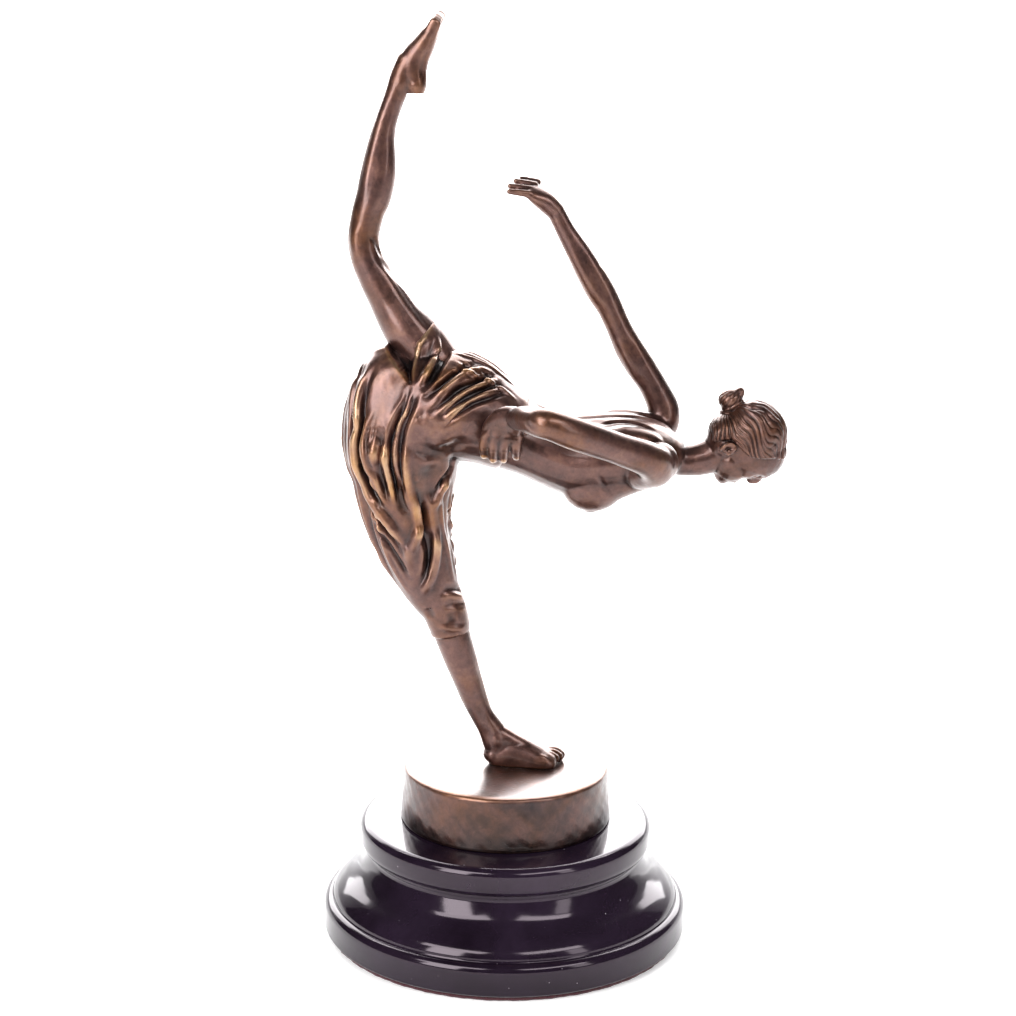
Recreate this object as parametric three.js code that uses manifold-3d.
// A bronze dancer in a deep penche balance on a turned marble base.
// Millimetres, +Z up. The base stands on z = 0 with its axis on the Z axis; the dancer
// leans towards +X, and her right side faces -Y.
import * as THREE from "three";
import { mergeVertices } from "three/addons/utils/BufferGeometryUtils.js";
import Module from "manifold-3d";

const wasm = await Module();
wasm.setup();

// ---- driving dimensions -------------------------------------------------------------

const GAP = 0.3;                    // between pieces that touch
const ROUND_SIDES = 40;             // facets around the turned base pieces

const FELT_INSET = 1.4;             // from the edge of the lower stone
const FELT_THICKNESS = 1.5;

const BASE_RADIUS = 65;             // lower stone, at its widest
const BASE_HEIGHT = 29.7;
const BASE_RIM_HEIGHT = 9.7;        // straight wall at the foot of the lower stone
const BASE_SHOULDER_RADIUS = 62.4;  // foot of the wave moulding above the rim
const BASE_NECK_RADIUS = 49;        // top of the wave moulding

const DISC_RADIUS = 52;             // upper stone
const DISC_HEIGHT = 10.2;
const DISC_SEAT_RADIUS = 50;        // underside of the upper stone
const DISC_EDGE_ROUND = 2.2;

const PLINTH_RADIUS = 36.5;         // bronze plinth at its top
const PLINTH_FLARE = 1.1;           // how much wider it is at the bottom
const PLINTH_HEIGHT = 19.2;
const PLINTH_WALL = 3;
const PLINTH_TOP = 4;
const PLINTH_EDGE_ROUND = 0.9;

const BOSS_RADIUS = 5;              // threaded boss under the plinth's top
const ROD_RADIUS = 2.5;             // tie rod that pulls the plinth down onto the stones
const ROD_GRIP = 11;                // how far the rod reaches into the boss
const ROD_TAIL = 1.6;               // rod showing below its nut
const NUT_HEIGHT = 4;
const NUT_FLATS = 8;                // across the flats
const WASHER_RADIUS = 7.5;
const WASHER_THICKNESS = 1.2;
const RECESS_RADIUS = 10;           // pocket for the nut under the lower stone
const RECESS_DEPTH = 9;

const STUD_RADIUS = 1.5;            // stud that bolts the standing foot to the plinth
const STUD_X = 10;                  // along the foot from the base's axis
const STUD_GRIP = 4.2;              // how far the stud reaches into the foot
const STUD_TAIL = 1.2;
const STUD_NUT_HEIGHT = 2.4;
const STUD_NUT_FLATS = 5.5;
const STUD_WASHER_RADIUS = 3.4;
const STUD_WASHER_THICKNESS = 0.6;
const PEG_RADIUS = 1;               // plain pin in the heel that stops the foot turning
const PEG_X = -3;
const PEG_GRIP = 3.2;               // in the foot
const PEG_DEPTH = 2.8;              // in the plinth's top

const FIGURE_HEIGHT = 261;          // from the sole to the raised toes
const FIGURE_BUILD = 1;             // thickness of the limbs and body
const DRAWN_HEIGHT = 261;           // height of the figure whose stations are listed below

// ---- heights that follow ------------------------------------------------------------

const baseZ = FELT_THICKNESS + GAP;
const discZ = baseZ + BASE_HEIGHT + GAP;
const plinthZ = discZ + DISC_HEIGHT + GAP;
const plinthTopZ = plinthZ + PLINTH_HEIGHT;
const plinthCeilingZ = plinthTopZ - PLINTH_TOP;
const recessTopZ = baseZ + RECESS_DEPTH;
const figureZ = plinthTopZ + GAP;
const figureScale = FIGURE_HEIGHT / DRAWN_HEIGHT;

// ---- materials ----------------------------------------------------------------------

const bronze = new THREE.MeshStandardMaterial({ color: 0x5a4034, roughness: 0.32, metalness: 1 });
const marble = new THREE.MeshStandardMaterial({ color: 0x0d0a11, roughness: 0.06, metalness: 0 });
const felt = new THREE.MeshStandardMaterial({ color: 0x3a1219, roughness: 0.95, metalness: 0 });
const steel = new THREE.MeshStandardMaterial({ color: 0x9a9c9e, roughness: 0.35, metalness: 1 });

// ---- solids -------------------------------------------------------------------------

function toSolid(geometry) {
  const bare = geometry.index ? geometry.toNonIndexed() : geometry.clone();
  bare.deleteAttribute("normal");
  bare.deleteAttribute("uv");
  const merged = mergeVertices(bare, 1e-4);
  const mesh = new wasm.Mesh({
    numProp: 3,
    vertProperties: new Float32Array(merged.attributes.position.array),
    triVerts: new Uint32Array(merged.index.array),
  });
  return new wasm.Manifold(mesh);
}

function toGeometry(solid) {
  const mesh = solid.getMesh();
  const geometry = new THREE.BufferGeometry();
  geometry.setAttribute("position", new THREE.BufferAttribute(mesh.vertProperties, 3));
  geometry.setIndex(new THREE.BufferAttribute(mesh.triVerts, 1));
  geometry.computeVertexNormals();
  return geometry;
}

function join(solids) {
  return solids.reduce((whole, solid) => whole.add(solid));
}

// A closed limb along a smooth spine. Each station is [x, y, z, wide, deep], with z from
// the sole; deep lies along the side direction, and both ends are domed.
const DOME_RINGS = [0.5, 0.85];

function limb(stations, { sides = 12, steps = 1, side = [0, 1, 0], dome = 1, grow = 0 } = {}) {
  const middle = stations.map(([x, y, z]) => new THREE.Vector3(x, y, z).multiplyScalar(figureScale));
  const size = stations.map(([, , , wide, deep]) => new THREE.Vector3(wide, deep, 0));
  const spine = new THREE.CatmullRomCurve3(middle, false, "centripetal");
  const girth = new THREE.CatmullRomCurve3(size, false, "centripetal");
  const across = new THREE.Vector3(...side);
  const thickness = figureScale * FIGURE_BUILD;
  const rings = [];

  function addRing(t, shrink, push) {
    const tangent = spine.getTangent(t);
    const deepWay = across.clone().addScaledVector(tangent, -across.dot(tangent)).normalize();
    const wideWay = new THREE.Vector3().crossVectors(deepWay, tangent);
    const { x: wide, y: deep } = girth.getPoint(t);
    const half = [wide * thickness / 2 + grow, deep * thickness / 2 + grow];
    const centre = spine.getPoint(t).addScaledVector(tangent, push * dome * Math.min(...half));
    const ring = [];
    for (let i = 0; i < sides; i += 1) {
      const angle = (2 * Math.PI * i) / sides;
      const point = centre.clone();
      point.addScaledVector(wideWay, Math.cos(angle) * half[0] * shrink);
      point.addScaledVector(deepWay, Math.sin(angle) * half[1] * shrink);
      ring.push(point);
    }
    rings.push({ ring, centre });
  }

  const count = (stations.length - 1) * steps;
  for (const part of DOME_RINGS.toReversed()) {
    addRing(0, Math.sqrt(1 - part * part), -part);
  }
  for (let i = 0; i <= count; i += 1) {
    addRing(i / count, 1, 0);
  }
  for (const part of DOME_RINGS) {
    addRing(1, Math.sqrt(1 - part * part), part);
  }
  return toSolid(skin(rings, sides));
}

// Joins rings of points into one closed mesh with a fan over each end.
function skin(rings, sides) {
  const positions = [];
  const put = (...points) => points.forEach((p) => positions.push(p.x, p.y, p.z));
  for (let r = 0; r + 1 < rings.length; r += 1) {
    for (let i = 0; i < sides; i += 1) {
      const j = (i + 1) % sides;
      const [a, b] = [rings[r].ring[i], rings[r].ring[j]];
      const [c, d] = [rings[r + 1].ring[i], rings[r + 1].ring[j]];
      put(a, b, d);
      put(a, d, c);
    }
  }
  const first = rings[0];
  const last = rings[rings.length - 1];
  for (let i = 0; i < sides; i += 1) {
    const j = (i + 1) % sides;
    put(first.centre, first.ring[j], first.ring[i]);
    put(last.centre, last.ring[i], last.ring[j]);
  }
  const geometry = new THREE.BufferGeometry();
  geometry.setAttribute("position", new THREE.Float32BufferAttribute(positions, 3));
  return geometry;
}

// A turned solid from [radius, height] points that start and end on the axis.
function turned(profile, sides = ROUND_SIDES) {
  const points = profile.map(([radius, height]) => new THREE.Vector2(radius, height));
  return toSolid(new THREE.LatheGeometry(points, sides).rotateX(Math.PI / 2));
}

function rod(radius, bottom, top, x = 0, sides = 16) {
  const geometry = new THREE.CylinderGeometry(radius, radius, top - bottom, sides);
  return toSolid(geometry.rotateX(Math.PI / 2).translate(x, 0, (top + bottom) / 2));
}

// A quarter round or hollow in a turned profile, from one point to the other.
function quarter([r0, z0], [r1, z1], bulge, steps = 3) {
  const points = [];
  for (let i = 0; i <= steps; i += 1) {
    const angle = (Math.PI / 2) * (i / steps);
    const [early, late] = [Math.sin(angle), 1 - Math.cos(angle)];
    const [u, v] = bulge ? [late, early] : [early, late];
    points.push([r0 + (r1 - r0) * u, z0 + (z1 - z0) * v]);
  }
  return points;
}

// ---- the base -----------------------------------------------------------------------

function makeFelt() {
  return rod(BASE_RADIUS - FELT_INSET, 0, FELT_THICKNESS, 0, ROUND_SIDES);
}

// A wave moulding: round at its foot, then hollow up to the neck.
function makeMarbleBase() {
  const rimTop = baseZ + BASE_RIM_HEIGHT;
  const baseTop = baseZ + BASE_HEIGHT;
  const waveLow = rimTop + 2.4;
  const waveTop = baseTop - 1.4;
  const crossRadius = BASE_SHOULDER_RADIUS * 0.42 + BASE_NECK_RADIUS * 0.58;
  const crossZ = waveLow * 0.5 + waveTop * 0.5;
  const stone = turned([
    [0, baseZ],
    [BASE_RADIUS - 0.6, baseZ],
    [BASE_RADIUS, baseZ + 0.6],
    ...quarter([BASE_RADIUS, rimTop], [BASE_RADIUS - 1.8, rimTop + 1.8], true),
    [BASE_SHOULDER_RADIUS, waveLow - 0.4],
    ...quarter([BASE_SHOULDER_RADIUS, waveLow], [crossRadius, crossZ], true, 4),
    ...quarter([crossRadius - 0.1, crossZ + 0.1], [BASE_NECK_RADIUS, waveTop], false, 5),
    [BASE_NECK_RADIUS, baseTop],
    [0, baseTop],
  ]);
  const bore = rod(ROD_RADIUS + GAP, baseZ - 1, baseTop + 1);
  const recess = rod(RECESS_RADIUS, baseZ - 1, recessTopZ);
  return stone.subtract(bore).subtract(recess);
}

function makeMarbleDisc() {
  const discTop = discZ + DISC_HEIGHT;
  const edgeLow = discZ + 3.4;
  const stone = turned([
    [0, discZ],
    [DISC_SEAT_RADIUS, discZ],
    ...quarter([DISC_SEAT_RADIUS, discZ + 0.1], [DISC_RADIUS, edgeLow], false),
    ...quarter([DISC_RADIUS, discTop - DISC_EDGE_ROUND], [DISC_RADIUS - DISC_EDGE_ROUND, discTop], true),
    [0, discTop],
  ]);
  return stone.subtract(rod(ROD_RADIUS + GAP, discZ - 1, discTop + 1));
}

function makePlinth() {
  const shoulder = PLINTH_RADIUS - PLINTH_EDGE_ROUND;
  const edge = quarter([PLINTH_RADIUS, plinthTopZ - PLINTH_EDGE_ROUND], [shoulder, plinthTopZ], true, 2);
  const outside = turned([
    [0, plinthZ],
    [PLINTH_RADIUS + PLINTH_FLARE, plinthZ],
    ...edge,
    [0, plinthTopZ],
  ]);
  const hollow = turned([
    [0, plinthZ - 1],
    [PLINTH_RADIUS + PLINTH_FLARE - PLINTH_WALL, plinthZ - 1],
    [PLINTH_RADIUS - PLINTH_WALL, plinthCeilingZ],
    [0, plinthCeilingZ],
  ]);
  const boss = rod(BOSS_RADIUS, plinthZ, plinthTopZ - PLINTH_TOP / 2);
  const rodBore = rod(ROD_RADIUS + GAP, plinthZ - 1, plinthZ + ROD_GRIP + GAP);
  const studBore = rod(STUD_RADIUS + GAP, plinthCeilingZ - 1, plinthTopZ + 1, STUD_X);
  const pegBore = rod(PEG_RADIUS + GAP, plinthTopZ - PEG_DEPTH - GAP, plinthTopZ + 1, PEG_X);
  return outside.subtract(hollow).add(boss).subtract(rodBore).subtract(studBore).subtract(pegBore);
}

// ---- fasteners ----------------------------------------------------------------------

function washer(outer, inner, bottom, thickness, x = 0) {
  return rod(outer, bottom, bottom + thickness, x, 24).subtract(rod(inner, bottom - 1, bottom + thickness + 1, x));
}

function nut(flats, inner, bottom, height, x = 0) {
  const corner = flats / 2 / Math.cos(Math.PI / 6);
  return rod(corner, bottom, bottom + height, x, 6).subtract(rod(inner, bottom - 1, bottom + height + 1, x));
}

const tieWasherZ = recessTopZ - GAP - WASHER_THICKNESS;
const tieNutZ = tieWasherZ - GAP - NUT_HEIGHT;
const studWasherZ = plinthCeilingZ - GAP - STUD_WASHER_THICKNESS;
const studNutZ = studWasherZ - GAP - STUD_NUT_HEIGHT;

// ---- the dancer: stations of each limb, z from the sole -----------------------------

const CALF = [
  [-22.5, 0.5, 57, 12, 12],
  [-19.8, 0, 48.7, 12.6, 12.6],
  [-16.6, 0, 38.3, 11.4, 11.6],
  [-14.2, 0, 30.9, 10, 10.4],
  [-11.4, 0, 23.5, 8.8, 9],
  [-8.6, 0, 17.5, 8, 8],
  [-6, 0, 12.6, 8, 7.8],
  [-3.8, -0.2, 8, 8.8, 8.2],
  [-2.6, -0.4, 4.4, 8, 8],
];

const FOOT = [
  [-4.2, -0.6, 3.6, 6.4, 7.8],
  [-1, -0.6, 4.4, 9.2, 8.8],
  [4, -0.6, 4.2, 9.8, 9.8],
  [9, -0.6, 3.2, 8.4, 11.4],
  [14, -0.6, 2.4, 6.2, 12.2],
  [16.4, -0.5, 1.9, 4.6, 10.8],
];

// Each toe: [reach along x, offset across the foot, width].
const STANDING_TOES = [
  [21.2, 3.6, 3.2],
  [20.4, 1, 2.4],
  [19.2, -1.2, 2.3],
  [17.8, -3.3, 2.2],
  [16.2, -5.1, 2.2],
];

const RAISED_LEG = [
  [-27, 8, 142.6, 20, 19],
  [-31.8, 8.5, 149.6, 19.4, 18.6],
  [-36.8, 9, 155.6, 16.8, 17],
  [-41.8, 10, 163.6, 14.5, 14.8],
  [-46.1, 10, 170.6, 12.3, 13],
  [-50.1, 10, 178.5, 11.2, 11.6],
  [-51.4, 10, 185.3, 10.3, 10.8],
  [-49.8, 10, 193.9, 10.6, 10.8],
  [-47.7, 10, 200.1, 11.3, 10.8],
  [-46.1, 10, 208.6, 10.8, 10.4],
  [-44.6, 10, 219.4, 7.9, 8],
  [-42.7, 10, 226.6, 6.9, 6.9],
  [-40, 10, 233.6, 7.4, 6.8],
  [-37.6, 10, 239.6, 8.4, 7.2],
  [-35.4, 10.2, 245, 8.4, 7.6],
];

const RAISED_FOOT = [
  [-32.6, 10, 236, 5.4, 6.2],
  [-33.2, 10, 238.2, 7.6, 7],
  [-34.8, 10, 242.5, 9.6, 7.6],
  [-33.4, 10.2, 246.4, 8.2, 8.2],
  [-31.3, 10.4, 249.9, 6.6, 9],
  [-28.9, 10.8, 253.9, 4.8, 8.8],
  [-27.6, 11, 256.2, 3.6, 7.6],
];

// Each toe: [offset across the foot, length, width].
const RAISED_TOES = [
  [3.2, 5.4, 2.6],
  [1.2, 4.8, 2],
  [-0.5, 4.2, 1.9],
  [-2, 3.5, 1.8],
  [-3.3, 2.7, 1.8],
];

const TORSO = [
  [-9, 5, 123.6, 28, 33],
  [-4, 5, 121.4, 28, 33],
  [0.7, 5, 119.2, 27, 33],
  [7.5, 5, 116.2, 25.6, 35],
  [15, 5, 113, 26.4, 38],
  [22.6, 5, 110, 30, 42],
  [29.6, 5, 109.2, 32.4, 44],
  [37.3, 5, 111.3, 31, 46],
  [44.6, 5, 113.2, 26.6, 46],
  [50, 5, 113.2, 22, 38],
  [54.6, 4.6, 111.6, 17, 25],
];

const NECK = [
  [53, 4.5, 111.4, 12, 13],
  [57, 4.4, 110.8, 11.8, 13],
  [60, 4.2, 110.4, 11.4, 12],
  [65, 4, 110.6, 11.8, 12],
  [72, 4, 113, 12.5, 13],
];

const SKULL = [
  [69.8, 4, 115.8, 14, 13],
  [73.4, 4, 115.2, 26.6, 18.6],
  [78.5, 4, 116.2, 29, 21],
  [84, 4, 117, 27.6, 21.4],
  [89, 4, 117.5, 22.4, 18.6],
  [93, 4, 117.2, 15, 13],
  [94.6, 4, 116.8, 8.4, 7],
];

const JAW = [
  [72, 4, 112, 10, 15],
  [73.4, 4, 107, 9, 12],
  [74.4, 4, 103.4, 6.4, 8],
  [74.4, 4, 102, 4.6, 5],
];

const BUN = [
  [75.6, 4.4, 127, 6, 7],
  [75.2, 4.4, 130, 7.6, 8.2],
  [75.6, 4.4, 132.8, 8, 8],
  [76.4, 4.4, 134.4, 6, 6],
];

const RAISED_ARM = [
  [46, 18, 114, 12, 11],
  [53, 20, 119.6, 13.4, 12],
  [53.6, 20.6, 125, 11.4, 11.4],
  [49.6, 21, 133.6, 10, 10.4],
  [45.1, 21, 140.6, 10.6, 10.4],
  [41, 21, 147.1, 10.2, 10],
  [37.2, 21, 154.5, 9.1, 9],
  [34, 21, 161.2, 9.4, 8.8],
  [30.8, 21, 166.8, 10.4, 9.2],
  [27.2, 21, 172.8, 10, 9],
  [23.1, 21, 179.8, 8.8, 8],
  [18.2, 21, 187.5, 6.9, 6.6],
  [14.2, 21, 195.2, 6.6, 6.4],
];

const PALM_SIDE = [0.15, 1, 0.4];   // the raised palm tips towards the bent arm's side
const RAISED_PALM = [
  [14.6, 21, 194.4, 6.4, 6.4],
  [11.6, 21, 197.4, 6, 8],
  [8.4, 21, 199.9, 5, 9.8],
  [6, 21.2, 201.6, 3.8, 9.6],
];

// Each finger: [knuckle, tip], from the near side to the far side.
const RAISED_FINGERS = [
  [[5.4, 17.6, 200.8], [-1.4, 17.3, 201.6]],
  [[6.2, 20, 202], [-1.6, 19.9, 203.2]],
  [[7.4, 22.4, 203], [0.6, 22.6, 204.4]],
  [[8.4, 24.6, 203.8], [2.6, 25, 205]],
];
const RAISED_THUMB = [[11, 18.4, 196.8], [4.4, 16.4, 198.2]];

const BENT_ARM = [
  [46, -13, 110.5, 15, 15],
  [49, -19, 113, 13.4, 13.4],
  [45.6, -25.4, 117, 11, 11.4],
  [36.8, -31, 121.6, 10, 10.4],
  [28.4, -36, 125.4, 9.8, 10],
  [20, -40.5, 129.2, 9.6, 9.8],
  [13, -43, 132, 9, 9.4],
  [9.6, -41.6, 132.6, 9.4, 9.6],
  [7.2, -35.6, 132.2, 9.2, 9],
  [5, -28.4, 131.4, 8, 7.8],
  [3.2, -22.6, 130.4, 7, 6.8],
];

const BENT_PALM = [
  [3, -22, 129.8, 7, 6.4],
  [0.4, -19.6, 127, 9.4, 5.6],
  [-2, -18.9, 123.4, 11, 5],
  [-3, -19, 120.8, 10.6, 4.2],
];

// Each finger: [knuckle, tip].
const BENT_FINGERS = [
  [[1.2, -19.6, 121.4], [2.2, -18.6, 115.8]],
  [[-1.4, -19.8, 120.6], [-2.2, -18.8, 115.2]],
  [[-4.2, -19.6, 120.6], [-5.8, -18.6, 114.6]],
  [[-6.6, -19, 121.6], [-8.4, -18.2, 115.4]],
];
const BENT_THUMB = [[3.6, -20.4, 127.4], [5.2, -17.6, 121]];

const HIPS = [
  [-2, 5, 121, 30, 38],
  [-10, 5, 124.8, 35, 42],
  [-20, 4.6, 128.8, 41, 45],
  [-31, 4.4, 126, 45, 46],
  [-36, 4, 119, 44, 45],
];

const DRAPE = [
  [-41.4, 5.6, 147, 18, 24],
  [-39.4, 4.8, 140, 31, 36],
  [-37.4, 3.8, 130, 41, 42],
  [-36.6, 3, 115, 42.6, 42],
  [-36.4, 2.6, 105, 37.4, 38],
  [-36, 2, 96, 33.6, 33],
  [-34.4, 1.4, 86, 29.4, 28],
  [-31, 0.8, 75, 25.4, 23],
  [-26.6, 0.4, 64.6, 20, 19],
  [-22.6, 0, 57.4, 16.4, 16],
  [-20.6, 0, 51.6, 15, 15],
  [-20, 0, 49.4, 14.4, 14.4],
];

// The cloth that stands up around the raised thigh.
const THIGH_WRAP = [
  [-28, 7.4, 132, 34, 36],
  [-33, 8, 141, 31, 32],
  [-35, 8.4, 148.6, 23, 25],
];

function digit([knuckle, tip], width) {
  const bend = knuckle.map((value, i) => value * 0.45 + tip[i] * 0.55);
  return limb(
    [[...knuckle, width, width], [...bend, width * 0.95, width * 0.95], [...tip, width * 0.75, width * 0.75]],
    { sides: 6, side: [0, 1, 0.2] },
  );
}

// ---- the dancer's castings ----------------------------------------------------------

const FINGER_WIDTH = 2.3;
const THUMB_WIDTH = 2.6;
const BODY = { sides: 20, dome: 0.3 };
const SOLE_CUT = 40;                // half-width of the block that flattens the sole

function makeStandingLeg(grow = 0) {
  const toes = STANDING_TOES.map(([reach, across, width]) => limb(
    [
      [reach - 6, across * 0.9, 2, 2.8, width],
      [reach - 2.6, across, 1.7, 2.6, width],
      [reach - 1.2, across, 1.1, 2, width * 0.9],
    ],
    { sides: 6, grow },
  ));
  const leg = join([limb(CALF, { grow }), limb(FOOT, { grow, side: [0, 1, 0] }), ...toes]);
  const block = new THREE.BoxGeometry(SOLE_CUT * 2, SOLE_CUT * 2, SOLE_CUT).translate(0, 0, -SOLE_CUT / 2);
  return leg.subtract(toSolid(block));
}

function makeRaisedLeg(grow = 0) {
  const [x, y, z] = RAISED_FOOT[RAISED_FOOT.length - 1];
  const toes = RAISED_TOES.map(([across, length, width]) => limb(
    [
      [x - 1.4, y + across * 0.9, z - 2.6, 2.6, width],
      [x + length * 0.45, y + across, z + length * 0.75, 2.1, width],
    ],
    { sides: 6, grow },
  ));
  return join([limb(RAISED_LEG, { grow, dome: 0.5 }), limb(RAISED_FOOT, { grow }), ...toes]);
}

function makeRaisedArm(grow = 0) {
  const fingers = RAISED_FINGERS.map((finger) => digit(finger, FINGER_WIDTH));
  const thumb = digit(RAISED_THUMB, THUMB_WIDTH);
  const palm = limb(RAISED_PALM, { grow, side: PALM_SIDE });
  return join([limb(RAISED_ARM, { grow }), palm, thumb, ...fingers]);
}

function makeBentArm(grow = 0) {
  const arm = limb(BENT_ARM, { grow, side: [0, 0, 1] });
  const palm = limb(BENT_PALM, { grow, side: [0, 1, 0] });
  const fingers = BENT_FINGERS.map((finger) => digit(finger, FINGER_WIDTH));
  return join([arm, palm, digit(BENT_THUMB, THUMB_WIDTH), ...fingers]);
}

function makeHead(grow = 0) {
  const parts = [NECK, SKULL, JAW, BUN].map((stations) => limb(stations, { grow, sides: 16, dome: 0.3 }));
  return join(parts);
}

function makeTorso(grow = 0) {
  return limb(TORSO, { ...BODY, grow });
}

function makeSkirt() {
  return join([limb(HIPS, BODY), limb(DRAPE, BODY), limb(THIGH_WRAP, BODY)]);
}

// The limbs are set into sockets in the torso and the skirt, with a hairline all round.
const standingLeg = makeStandingLeg()
  .subtract(rod(STUD_RADIUS + GAP, -1, STUD_GRIP + GAP, STUD_X))
  .subtract(rod(PEG_RADIUS + GAP, -1, PEG_GRIP + GAP, PEG_X));
const raisedArm = makeRaisedArm();
const bentArm = makeBentArm();
const head = makeHead();
const torso = makeTorso()
  .subtract(makeHead(GAP))
  .subtract(makeRaisedArm(GAP))
  .subtract(makeBentArm(GAP));
const skirt = makeSkirt()
  .subtract(makeTorso(GAP))
  .subtract(makeRaisedLeg(GAP))
  .subtract(makeStandingLeg(GAP))
  .subtract(makeBentArm(GAP));

// ---- assembly -----------------------------------------------------------------------

function piece(name, solid, material) {
  const mesh = new THREE.Mesh(toGeometry(solid), material);
  mesh.name = name;
  return mesh;
}

const figure = new THREE.Group();
figure.position.z = figureZ;
figure.add(
  piece("head", head, bronze),
  piece("torso", torso, bronze),
  piece("raised_arm", raisedArm, bronze),
  piece("bent_arm", bentArm, bronze),
  piece("skirt", skirt, bronze),
  piece("raised_leg", makeRaisedLeg(), bronze),
  piece("standing_leg", standingLeg, bronze),
);

const studTop = figureZ + STUD_GRIP;
const rodBottom = tieNutZ - ROD_TAIL;
const base = new THREE.Group();
base.add(
  piece("bronze_plinth", makePlinth(), bronze),
  piece("marble_top_disc", makeMarbleDisc(), marble),
  piece("marble_base", makeMarbleBase(), marble),
  piece("felt_pad", makeFelt(), felt),
  piece("tie_rod", rod(ROD_RADIUS, rodBottom, plinthZ + ROD_GRIP), steel),
  piece("tie_rod_washer", washer(WASHER_RADIUS, ROD_RADIUS + GAP, tieWasherZ, WASHER_THICKNESS), steel),
  piece("tie_rod_nut", nut(NUT_FLATS, ROD_RADIUS + GAP, tieNutZ, NUT_HEIGHT), steel),
  piece("foot_stud", rod(STUD_RADIUS, studNutZ - STUD_TAIL, studTop, STUD_X), steel),
  piece(
    "foot_stud_washer",
    washer(STUD_WASHER_RADIUS, STUD_RADIUS + GAP, studWasherZ, STUD_WASHER_THICKNESS, STUD_X),
    steel,
  ),
  piece("foot_stud_nut", nut(STUD_NUT_FLATS, STUD_RADIUS + GAP, studNutZ, STUD_NUT_HEIGHT, STUD_X), steel),
  piece("foot_peg", rod(PEG_RADIUS, plinthTopZ - PEG_DEPTH, figureZ + PEG_GRIP, PEG_X), steel),
);

const statuette = new THREE.Group();
statuette.add(figure, base);
export default statuette;
